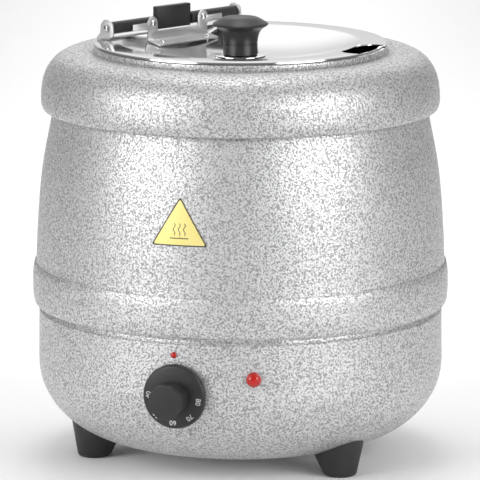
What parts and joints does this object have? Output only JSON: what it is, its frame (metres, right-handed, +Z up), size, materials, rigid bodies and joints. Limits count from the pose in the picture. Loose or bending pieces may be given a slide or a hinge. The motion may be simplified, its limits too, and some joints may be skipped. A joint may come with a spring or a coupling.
{
  "type": "soup kettle",
  "caption": "Round wet-heat soup kettle with a lift-out pot, a folding lid with a ladle notch, a heat dial and a pilot lamp, standing on three feet.",
  "frame": {"origin": "on the floor under the kettle's axis, in the plane the three feet stand on", "axes": "+Z up along the kettle's axis, -Y towards the user, so the dial and lamp face -Y and the supply inlet faces +Y; +X is the user's right"},
  "size_m": [0.34, 0.375, 0.3621],
  "materials": {
    "hammertone_enamel": "silver hammertone",
    "polished_steel": "mirror polished stainless steel",
    "satin_steel": "satin",
    "cast_aluminium": "cast",
    "black_phenolic": "moulded satin",
    "black_plastic": "moulded matte",
    "red_lens": "clear red",
    "gold_foil": "printed foil",
    "white_ceramic": "glazed insulator"
  },
  "bodies": {
    "housing": {"barrel": "hammertone_enamel", "bottom_plate": "satin_steel", "bowl": "hammertone_enamel", "cable_gland": "black_plastic", "caution_plate": "gold_foil", "clamp_bolt": "satin_steel", "clamp_nut": "satin_steel", "dial_marker": "red_lens", "foot_left": "black_plastic", "foot_left_screw": "satin_steel", "foot_rear": "black_plastic", "foot_rear_screw": "satin_steel", "foot_right": "black_plastic", "foot_right_screw": "satin_steel", "gland_nut": "black_plastic", "heat_shield": "satin_steel", "heater_plate": "cast_aluminium", "heating_element": "satin_steel", "pilot_lamp_body": "white_ceramic", "pilot_lamp_lens": "red_lens", "rim_collar": "hammertone_enamel", "sensing_bulb": "satin_steel", "terminal_block": "white_ceramic", "thermal_cutout": "black_phenolic", "thermostat": "satin_steel", "water_pan": "satin_steel"},
    "pot": {"soup_pot": "polished_steel"},
    "cover": {"lid_rear": "polished_steel", "hinge_bracket": "satin_steel", "bracket_rivet_left": "polished_steel", "bracket_rivet_right": "polished_steel", "hinge_rod": "satin_steel", "hinge_screw_left": "polished_steel", "hinge_screw_right": "polished_steel"},
    "lid": {"lid_front": "polished_steel", "lid_knob": "black_phenolic", "knob_washer": "polished_steel", "knob_screw": "satin_steel", "lid_leaf": "satin_steel", "leaf_screw_left": "polished_steel", "leaf_screw_right": "polished_steel", "leaf_rivet_left": "polished_steel", "leaf_rivet_right": "polished_steel", "hinge_sleeve_left": "black_phenolic", "hinge_sleeve_right": "black_phenolic", "hinge_block": "black_phenolic"},
    "dial": {"control_dial": "black_phenolic", "thermostat_shaft": "satin_steel"}
  },
  "joints": [
    {"name": "pot_lift", "type": "slide", "parent": "housing", "child": "pot", "axis": [0, 0, 1], "range_m": [0, 0.28]},
    {"name": "cover_lift", "type": "slide", "parent": "pot", "child": "cover", "axis": [0, 0, 1], "range_m": [0, 0.08]},
    {"name": "lid_hinge", "type": "hinge", "parent": "cover", "child": "lid", "pos_m": [-0.05657, 0.05657, 0.3495], "axis": [-0.7071, -0.7071, 0], "range_deg": [0, 105]},
    {"name": "dial_turn", "type": "hinge", "parent": "housing", "child": "dial", "pos_m": [-0.05363, -0.16605, 0.08], "axis": [0.3074, 0.9516, 0], "range_deg": [0, 270]}
  ]
}
